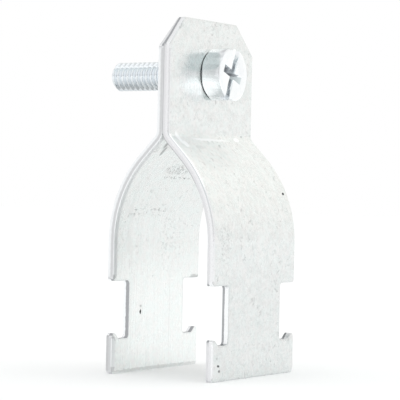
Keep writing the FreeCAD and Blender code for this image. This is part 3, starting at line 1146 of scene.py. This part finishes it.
def sheet_marks(nodes, sheet):
    """How strongly pits, flecks, handling marks and painted shade darken the two faces."""
    tree = nodes.tree
    cells = put(tree, "ShaderNodeTexVoronoi", {"Vector": nodes.place, "Scale": 0.62})
    dot = ramp(tree, cells.outputs["Distance"], 0.10, 0.055)
    picked = put(tree, "ShaderNodeSeparateColor", {0: cells.outputs["Color"]})
    rare = ramp(tree, picked.outputs[0], 0.86, 0.9)
    pits = times(tree, dot, rare)
    patch = ramp(tree, noise(tree, nodes.place, scale=0.16), 0.5, 0.62)
    flecks = ramp(tree, noise(tree, nodes.place, 0.78, 4.0, 0.68, 0.8), 0.56, 0.64)
    flecks = times(tree, flecks, plus(tree, times(tree, patch, 0.16), 0.09))
    cleaner = rest_of(tree, times(tree, nodes.height, 0.7), whole=0.85)
    flecks = times(tree, flecks, rest_of(tree, times(tree, nodes.depth, cleaner)))
    marks = larger(tree, times(tree, pits, 0.5), flecks)
    for mark in handling_marks(nodes, sheet):
        marks = larger(tree, marks, mark)
    return marks


def edge_colour(nodes, finish):
    """Colour of the cut edges, smooth and then torn; the two long edges are duller, painted shade
    darkens them by the floor and towards the front foot, and a painted highlight runs along the
    rear edge's outer rim.
    """
    tree = nodes.tree
    along = nodes.along
    torn_line = nodes.torn_line
    low, high = nodes.above_foot
    streak_place = stretched(tree, nodes.place, (3.0, 3.0, 0.5))
    streak = times(tree, noise(tree, streak_place, detail=3.0, roughness=0.6), 0.1)
    smooth = mixed(tree, streak, solid(finish.burnish), solid(finish.fracture))
    rough = mixed(tree, times(tree, nodes.speckle, 0.4), solid(finish.fracture), solid(finish.pit))
    edge = mixed(tree, nodes.torn, smooth, rough)
    # Painted shade on the cut edges in their lowest millimetre, next to the floor
    low_corner = ramp(tree, along, 1.1, 0.5, start=0.0, end=0.8)
    edge = mixed(tree, low_corner, edge, solid(finish.slit_fracture))

    front = mixed(tree, ramp(tree, torn_line, 0.05, 0.8), solid(finish.slit_burnish),
                  solid(finish.slit_fracture))
    # A dark line along the inner side of the front edge, on the arch
    inner_dark_line = times(tree, ramp(tree, nodes.through, 0.86, 0.97), ramp(tree, along, 38.0, 44.0))
    front = mixed(tree, times(tree, inner_dark_line, 0.45), front, solid(finish.pit))
    # Painted shade on the front edge towards the foot
    front_foot = ramp(tree, along, 11.0, 7.0, start=0.0, end=0.6)
    front = mixed(tree, front_foot, front, solid(finish.slit_fracture))

    # Painted highlight along the outer rim of the rear edge, above the foot
    rim_highlight = times(tree, ramp(tree, torn_line, 0.35, 0.68), ramp(tree, along, low, high))
    rear = mixed(tree, rim_highlight, solid(finish.slit_rear), solid(finish.burnish))
    rolled_share = larger(tree, ramp(tree, nodes.cut, 1.0, 1.9, start=0.0, end=0.85),
                          ramp(tree, along, low, high, start=0.85, end=0.42))
    rear_roll = mixed(tree, rolled_share, solid(finish.slit_rear), solid(finish.burnish))
    rear = mixed(tree, ramp(tree, nodes.through, 0.08, 0.0), rear, rear_roll)

    edge = mixed(tree, nodes.front_slit, edge, front)
    edge = mixed(tree, nodes.rear_slit, edge, rear)
    spotted = times(tree, ramp(tree, nodes.speckle, 0.55, 0.75), 0.12)
    return mixed(tree, spotted, edge, solid(finish.pit))


def sheet_roughness(nodes, finish, marks, cut_share):
    """Roughness of the faces and of the cut edges."""
    tree = nodes.tree
    uneven = plus(tree, times(tree, nodes.cloud, 0.5), times(tree, nodes.rolling, 0.5))
    face = ramp(tree, uneven, 0.4, 0.62, finish.sheet_gloss, finish.sheet_dull)
    face = plus(tree, face, times(tree, marks, 0.25))
    rubbed = oval(nodes, nodes.place, OUTSIDE, -7.0, 50.5, wide=12.0, high=8.0, deep=0.8)
    face = plus(tree, face, times(tree, rubbed, 0.22))
    cut = ramp(tree, nodes.torn, 0.0, 1.0, start=0.24, end=0.42)
    cut = plus(tree, cut, times(tree, nodes.rear_slit, 0.2))
    return put(tree, "ShaderNodeMix", {0: cut_share, 2: face, 3: cut}).outputs[0]


def sheet_bumps(nodes, marks, cut_share):
    """Clouding, grain, rolling lines, marks and the torn zone as fine bumps, one on another."""
    tree = nodes.tree
    scratches = times(tree, ramp(tree, nodes.scratch, 0.66, 0.7), 0.1)
    torn_height = times(tree, times(tree, nodes.torn, cut_share), nodes.speckle)
    normal = bumped(tree, nodes.cloud, strength=0.6, distance=0.03)
    normal = bumped(tree, nodes.grain, 0.22, 0.008, normal)
    normal = bumped(tree, nodes.rolling, 0.08, 0.005, normal)
    normal = bumped(tree, plus(tree, marks, scratches), 0.7, 0.03, normal, invert=True)
    return bumped(tree, torn_height, 0.6, 0.04, normal)


def galvanised_material(finish, sheet):
    """Bright galvanised sheet with clouding, rolling marks, pits and sheared edges."""
    made, tree, surface = material("galvanised_sheet")
    nodes = SheetNodes(tree)
    marks = sheet_marks(nodes, sheet)
    face = mixed(tree, marks, face_colour(nodes, finish), solid(finish.pit))
    # Painted highlight along the bend below the near ear, in the burnish colour
    bend_highlight = times(tree, bend_line(nodes), 0.9)
    face = mixed(tree, bend_highlight, face, solid(finish.burnish))
    cut_share = ramp(tree, nodes.cut, 0.35, 0.75)
    base = mixed(tree, cut_share, face, edge_colour(nodes, finish))
    roughness = sheet_roughness(nodes, finish, marks, cut_share)
    metal(tree, surface, base, roughness, sheet_bumps(nodes, marks, cut_share))
    return made


def spot(tree, place, centre, size):
    """One in the middle of an oval on a surface and nought outside it."""
    away = put(tree, "ShaderNodeVectorMath", {0: place, 1: centre}, operation="SUBTRACT")
    away = stretched(tree, away.outputs[0], [1 / side for side in size])
    reach = put(tree, "ShaderNodeVectorMath", {0: away}, operation="LENGTH").outputs["Value"]
    return ramp(tree, reach, 1.0, 0.55)


def oval(nodes, place, side, across, along, wide, high, deep=0.8, strength=1.0, pattern=None):
    """A mark on one side of the sheet, in millimetres, weakened and broken up by a pattern."""
    mark = spot(nodes.tree, place, (across, along, side), (wide, high, deep))
    if pattern is not None:
        mark = times(nodes.tree, mark, pattern)
    if strength == 1.0:
        return mark
    return times(nodes.tree, mark, strength)


def ragged_place(nodes, across, along):
    """Places shifted by the grain, which makes a mark's outline uneven."""
    shift = stretched(nodes.tree, nodes.grain, (across, along, 0.0))
    return put(nodes.tree, "ShaderNodeVectorMath", {0: nodes.place, 1: shift},
               operation="ADD").outputs[0]


def pit(nodes, place, side, across, along, strength=1.0):
    """A small round pit."""
    return oval(nodes, place, side, across, along, 0.5, 0.38, 0.5, strength)


def handling_marks(nodes, sheet):
    """Pits, scuffs and scratches on the two sides that are most in view, and painted shade under
    the bend and along the far foot's bottom edge.
    """
    tree = nodes.tree
    inside = FAR_SEED * SEED_STEP / MM + sheet / MM
    smooth = nodes.place
    ragged = ragged_place(nodes, 0.9, 0.9)
    hatch_place = stretched(tree, smooth, (1.7, 1.3, 1.0))
    hatch = ramp(tree, noise(tree, hatch_place, 1.0, 3.0, 0.6, 1.0), 0.44, 0.6)
    dots = ramp(tree, noise(tree, smooth, 1.7, 3.0, 0.65), 0.52, 0.6)
    speck_place = stretched(tree, smooth, (1.1, 1.6, 1.0))
    specks = ramp(tree, noise(tree, speck_place, 1.0, 3.0, 0.7), 0.56, 0.64)

    # Neck, shoulder and foot of the far strap's inner side
    yield oval(nodes, ragged, inside, 6.5, 13.3, wide=0.34, high=0.7, deep=0.5)
    yield pit(nodes, ragged, inside, 6.35, 14.5, strength=0.3)
    yield oval(nodes, ragged, inside, -14.6, 20.3, wide=2.6, high=0.75, strength=0.3)
    # Painted shade: a dark line just above the bottom edge of the far foot
    yield oval(nodes, ragged, inside, 0.8, 0.95, wide=24.0, high=0.4, strength=0.2)
    yield oval(nodes, smooth, inside, -5.0, 12.0, wide=0.16, high=16.0, deep=0.5, strength=0.09)

    # Scuffed bands and specks of the same side, and painted shade in the corner under the bend
    yield oval(nodes, ragged, inside, 0.9, 46.0, wide=6.0, high=1.7, strength=0.36, pattern=hatch)
    yield oval(nodes, ragged, inside, -0.6, 43.7, wide=7.5, high=0.45, strength=0.45,
               pattern=dots)
    yield oval(nodes, ragged, inside, 4.5, 35.2, wide=12.0, high=1.3, strength=0.32,
               pattern=specks)
    yield oval(nodes, ragged, inside, -5.0, 28.0, wide=6.0, high=9.0, strength=0.15,
               pattern=specks)
    # Painted shade: a dark wedge and a soft patch where the two straps close in under the bend
    yield oval(nodes, smooth, inside, 12.4, 52.8, wide=0.6, high=1.7, deep=0.6, strength=0.42)
    yield oval(nodes, smooth, inside, 11.6, 50.7, wide=0.6, high=1.7, deep=0.6, strength=0.42)
    yield oval(nodes, smooth, inside, 10.5, 53.2, wide=4.0, high=2.8, strength=0.08)

    # Pits, a smudge and a dull patch on the near strap's outer side
    yield pit(nodes, ragged, OUTSIDE, 14.8, 39.35)
    yield oval(nodes, ragged, OUTSIDE, -13.45, 3.75, wide=0.52, high=0.34, deep=0.5)
    yield pit(nodes, ragged, OUTSIDE, -13.1, 2.6, strength=0.75)
    yield pit(nodes, ragged, OUTSIDE, -13.9, 5.3, strength=0.2)
    yield pit(nodes, smooth, OUTSIDE, 11.8, 54.8, strength=0.35)
    yield oval(nodes, ragged, OUTSIDE, -7.6, 51.0, wide=2.2, high=0.7, deep=0.6, strength=0.1)
    yield oval(nodes, ragged, OUTSIDE, -11.5, 29.0, wide=3.0, high=6.0, strength=0.2,
               pattern=dots)


def bend_line(nodes):
    """A thin bright line, a star and a hook along the bend below the near ear, painted as a
    highlight.
    """
    ragged = ragged_place(nodes, 0.0, 1.4)
    line = oval(nodes, ragged, OUTSIDE, -1.4, 53.7, wide=8.5, high=0.5, deep=0.5)
    star = oval(nodes, ragged, OUTSIDE, 9.2, 54.2, wide=1.5, high=0.8, deep=0.5)
    hook = oval(nodes, ragged, OUTSIDE, -13.6, 53.9, wide=0.8, high=2.6, deep=0.6)
    lower_hook = oval(nodes, ragged, OUTSIDE, -12.7, 52.0, wide=1.1, high=1.3, deep=0.6)
    line = larger(nodes.tree, line, lower_hook)
    return larger(nodes.tree, line, larger(nodes.tree, star, hook))


def plated_material(name, plate, blue_plate, ear_face, gloss, shade_and_grime):
    """Bright zinc plating with faint clouding and small knocks, bluish behind the ear's face, and
    darkened wherever the mesh carries painted shade.
    """
    made, tree, surface = material(name)
    coordinates = put(tree, "ShaderNodeTexCoord").outputs["Object"]
    place = stretched(tree, coordinates, TO_MM)
    cloud = noise(tree, place, 0.45, 3.0, 0.55)
    grain = noise(tree, place, 3.2, 3.0, 0.6)
    knock = ramp(tree, noise(tree, place, 1.3, 3.0, 0.6), 0.66, 0.74)
    tone = plus(tree, times(tree, cloud, 0.6), times(tree, grain, 0.4))
    tone = ramp(tree, tone, 0.38, 0.62)
    ear = ear_face / MM
    behind = ramp(tree, part_of(place, 0), low=ear + 0.1, high=ear - 0.1)
    bright = mixed(tree, behind, solid(plate), solid(blue_plate))
    dull = mixed(tree, 0.04, bright, solid(shade_and_grime))
    knocked = [0.6 * channel for channel in plate]
    base = mixed(tree, tone, dull, bright)
    base = mixed(tree, times(tree, knock, 0.3), base, solid(knocked))
    # Painted shade from the screw's mesh: darker in the gap under the head, the drive, the thread's
    # roots and its top and bottom
    shade_film = put(tree, "ShaderNodeAttribute", attribute_name=PAINTED_SHADE).outputs["Fac"]
    base = mixed(tree, shade_film, base, solid(shade_and_grime))
    roughness = ramp(tree, cloud, 0.35, 0.65, start=gloss, end=gloss + 0.08)
    roughness = plus(tree, roughness, times(tree, knock, 0.15))
    normal = bumped(tree, cloud, strength=0.5, distance=0.02)
    normal = bumped(tree, grain, 0.4, 0.004, normal)
    metal(tree, surface, base, roughness, normal)
    return made


# Operators


def show_piece(name, mesh, surface, body, node):
    """Puts a piece in the scene in place of its node."""
    piece = bpy.data.objects.new(name, mesh)
    bpy.context.scene.collection.objects.link(piece)
    mesh.materials.clear()
    mesh.materials.append(surface)
    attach(piece, body)
    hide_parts(node)
    return piece


class CLAMP_OT_make_straps(bpy.types.Operator):
    """Make the near strap and the far strap, which is the same stamping turned round"""

    bl_idname = "clamp.make_straps"
    bl_label = "Make straps"

    def execute(self, context):
        """Builds both straps with one material."""
        settings = context.scene.clamp_strap
        surface = galvanised_material(context.scene.clamp_finish, settings.sheet)
        near = strap_mesh(settings, "near_strap_sheet", NEAR_SEED, NEAR_TORN_SHIFT)
        far = strap_mesh(settings, "far_strap_sheet", FAR_SEED, FAR_TORN_SHIFT)
        far.transform(Matrix.Rotation(math.pi, 4, "Z"))
        show_piece("near_strap_bent", near, surface, "near_half", "near_strap")
        show_piece("far_strap_bent", far, surface, "far_half", "far_strap")
        return {"FINISHED"}


class CLAMP_OT_make_screw(bpy.types.Operator):
    """Make the hex head screw with its thread, slot and cross recess"""

    bl_idname = "clamp.make_screw"
    bl_label = "Make screw"

    def execute(self, context):
        """Builds the screw on its own axis and moves it into place."""
        mesh = clamp_screw_mesh(context.scene.clamp_screw)
        mesh.transform(axis_place())
        finish = context.scene.clamp_finish
        surface = plated_material(
            "bright_zinc_screw", finish.screw_plate, finish.blue_plate,
            context.scene.clamp_strap.sheet, finish.plate_gloss, finish.shade_and_grime)
        show_piece("clamp_screw_threaded", mesh, surface, "screw", "clamp_screw")
        return {"FINISHED"}


class CLAMP_OT_make_nut(bpy.types.Operator):
    """Make the square nut with its threaded bore"""

    bl_idname = "clamp.make_nut"
    bl_label = "Make nut"

    def execute(self, context):
        """Builds the nut on the screw's axis."""
        mesh = square_nut_mesh(context.scene.clamp_nut, context.scene.clamp_screw.pitch)
        mesh.transform(axis_place())
        finish = context.scene.clamp_finish
        surface = plated_material(
            "zinc_nut", finish.nut_plate, finish.nut_plate,
            context.scene.clamp_strap.sheet, finish.plate_gloss + NUT_DULLNESS, finish.shade_and_grime)
        show_piece("square_nut_threaded", mesh, surface, "far_half", "square_nut")
        return {"FINISHED"}


def axis_place():
    """Moves pieces made about the X axis onto the screw's axis."""
    middle = (NUT_LOW + NUT_HIGH) / 2
    return Matrix.Translation((0, middle.y, middle.z))


def make_floor(settings):
    """A pale floor with the object's shadow, white to the camera, with a card for the metal."""
    half = settings.floor_size / 2
    mesh = bpy.data.meshes.new("floor")
    corners = [(-half, -half, 0), (half, -half, 0), (half, half, 0), (-half, half, 0)]
    mesh.from_pydata(corners, [], [(0, 1, 2, 3)])
    floor = bpy.data.objects.new("floor", mesh)
    bpy.context.scene.collection.objects.link(floor)
    made, tree, surface = material("pale_floor")
    matte = put(tree, "ShaderNodeBsdfDiffuse", {"Color": solid(settings.floor_colour)})
    rays = put(tree, "ShaderNodeLightPath").outputs
    seen = larger(tree, rays["Is Camera Ray"], rays["Is Transmission Ray"])
    seen = times(tree, seen, settings.floor_glow)
    spread = put(tree, "ShaderNodeTexCoord").outputs["Object"]
    card = times(tree, spot(tree, spread, CARD_PLACE, CARD_SIZE), settings.card_glow)
    card = plus(tree, card, settings.mirrored_glow)
    mirrored = times(tree, rays["Is Glossy Ray"], card)
    glow = put(tree, "ShaderNodeEmission", {
        "Color": solid(WHITE), "Strength": plus(tree, seen, mirrored)})
    both_shaders = put(tree, "ShaderNodeAddShader", {0: matte.outputs[0], 1: glow.outputs[0]})
    tree.links.new(both_shaders.outputs[0], surface)
    mesh.materials.append(made)


def make_world(settings):
    """White studio walls with a window, two dimmer parts and four grey flags."""
    world = bpy.data.worlds.new("studio")
    world.use_nodes = True
    tree = world.node_tree
    tree.nodes.clear()
    output = tree.nodes.new("ShaderNodeOutputWorld")
    heading = put(tree, "ShaderNodeTexCoord").outputs["Generated"]
    shade = tinted(settings.sky_level)
    window = lobe(tree, heading, WINDOW_SIDE, outer=0.55, inner=0.98)
    shade = mixed(tree, window, shade, tinted(settings.warm_level, WINDOW_TINT))
    rear = lobe(tree, heading, REAR_SIDE, outer=0.8, inner=0.95)
    shade = mixed(tree, rear, shade, tinted(settings.rear_level))
    dim = lobe(tree, heading, ABOVE_CAMERA, outer=0.72, inner=0.93)
    shade = mixed(tree, dim, shade, tinted(settings.dim_level, DIM_TINT))
    for towards in FLAG_SIDES:
        flag = lobe(tree, heading, towards, outer=0.93, inner=0.98)
        shade = mixed(tree, flag, shade, tinted(settings.flag_level))
    rays = put(tree, "ShaderNodeLightPath").outputs
    shade = mixed(tree, rays["Is Camera Ray"], shade, solid(WHITE))
    background = put(tree, "ShaderNodeBackground", {"Color": shade, "Strength": 1.0})
    tree.links.new(background.outputs[0], output.inputs["Surface"])
    bpy.context.scene.world = world


def tinted(level, tint=WHITE):
    """A brightness as a colour."""
    return solid(level * channel for channel in tint)


def lobe(tree, heading, towards, outer, inner):
    """One in a direction, nought away from it, between two cosines of the angle."""
    aim = tuple(Vector(towards).normalized())
    dot = put(tree, "ShaderNodeVectorMath", {0: heading, 1: aim}, operation="DOT_PRODUCT")
    return ramp(tree, dot.outputs["Value"], outer, inner)


def make_lamp(settings):
    """One large soft lamp above the right-hand side."""
    data = bpy.data.lights.new("soft_lamp", "AREA")
    data.energy = settings.lamp_power
    data.shape = "DISK"
    data.size = LAMP_SIZE
    lamp = bpy.data.objects.new("soft_lamp", data)
    lamp.location = LAMP_PLACE
    lamp.rotation_euler = (-lamp.location).to_track_quat("-Z", "Y").to_euler()
    bpy.context.scene.collection.objects.link(lamp)


def make_camera():
    """The photograph's viewpoint."""
    data = bpy.data.cameras.new("camera")
    camera = bpy.data.objects.new("camera", data)
    bpy.context.scene.collection.objects.link(camera)
    turn = math.radians(CAMERA_TURN)
    rise = math.radians(CAMERA_RISE)
    roll = math.radians(CAMERA_ROLL)
    back = Vector((math.cos(turn) * math.cos(rise), -math.sin(turn) * math.cos(rise),
                   math.sin(rise)))
    level_right = Vector((math.sin(turn), math.cos(turn), 0))
    level_up = back.cross(level_right)
    right = level_right * math.cos(roll) + level_up * math.sin(roll)
    up = level_up * math.cos(roll) - level_right * math.sin(roll)
    axes = Matrix((right, up, back)).transposed().to_4x4()
    camera.matrix_world = Matrix.Translation(Vector(CAMERA_PLACE) * MM) @ axes
    data.sensor_width = 36.0
    data.lens = FOCAL_PIXELS * data.sensor_width / IMAGE_SIDE
    data.shift_x = (IMAGE_SIDE / 2 - IMAGE_CENTRE[0]) / IMAGE_SIDE
    data.shift_y = (IMAGE_CENTRE[1] - IMAGE_SIDE / 2) / IMAGE_SIDE
    data.clip_start = 0.01
    data.clip_end = 50.0
    bpy.context.scene.camera = camera


class CLAMP_OT_make_stage(bpy.types.Operator):
    """Make the floor, the studio's light and the camera"""

    bl_idname = "clamp.make_stage"
    bl_label = "Make stage"

    def execute(self, context):
        """Sets the stage and the plain view transform."""
        settings = context.scene.clamp_stage
        make_floor(settings)
        make_world(settings)
        make_lamp(settings)
        make_camera()
        context.scene.view_settings.view_transform = "Standard"
        return {"FINISHED"}


class CLAMP_PT_panel(bpy.types.Panel):
    """Lists the steps and the sizes of the clamp"""

    bl_idname = "CLAMP_PT_panel"
    bl_label = "Strut pipe clamp"
    bl_space_type = "VIEW_3D"
    bl_region_type = "UI"
    bl_category = "Clamp"

    def draw(self, context):
        """Draws the buttons and the settings."""
        for operator in OPERATORS:
            self.layout.operator(operator.bl_idname)
        for name in SETTINGS:
            group = getattr(context.scene, name)
            box = self.layout.box()
            for key in group.bl_rna.properties.keys():
                if key not in ("rna_type", "name"):
                    box.prop(group, key)


SETTINGS = {
    "clamp_strap": StrapSettings,
    "clamp_screw": ScrewSettings,
    "clamp_nut": NutSettings,
    "clamp_finish": FinishSettings,
    "clamp_stage": StageSettings,
}
OPERATORS = (CLAMP_OT_make_straps, CLAMP_OT_make_screw, CLAMP_OT_make_nut, CLAMP_OT_make_stage)


def register():
    """Registers the classes and hangs the settings on the scene."""
    for kind in (*SETTINGS.values(), *OPERATORS, CLAMP_PT_panel):
        bpy.utils.register_class(kind)
    for name, kind in SETTINGS.items():
        setattr(bpy.types.Scene, name, bpy.props.PointerProperty(type=kind))


def unregister():
    """Takes back what register did."""
    for name in SETTINGS:
        delattr(bpy.types.Scene, name)
    for kind in (CLAMP_PT_panel, *OPERATORS[::-1], *reversed(SETTINGS.values())):
        bpy.utils.unregister_class(kind)


def main():
    """Registers the add-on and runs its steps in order."""
    register()
    bpy.ops.clamp.make_straps()
    bpy.ops.clamp.make_screw()
    bpy.ops.clamp.make_nut()
    bpy.ops.clamp.make_stage()


if __name__ == "__main__":
    main()
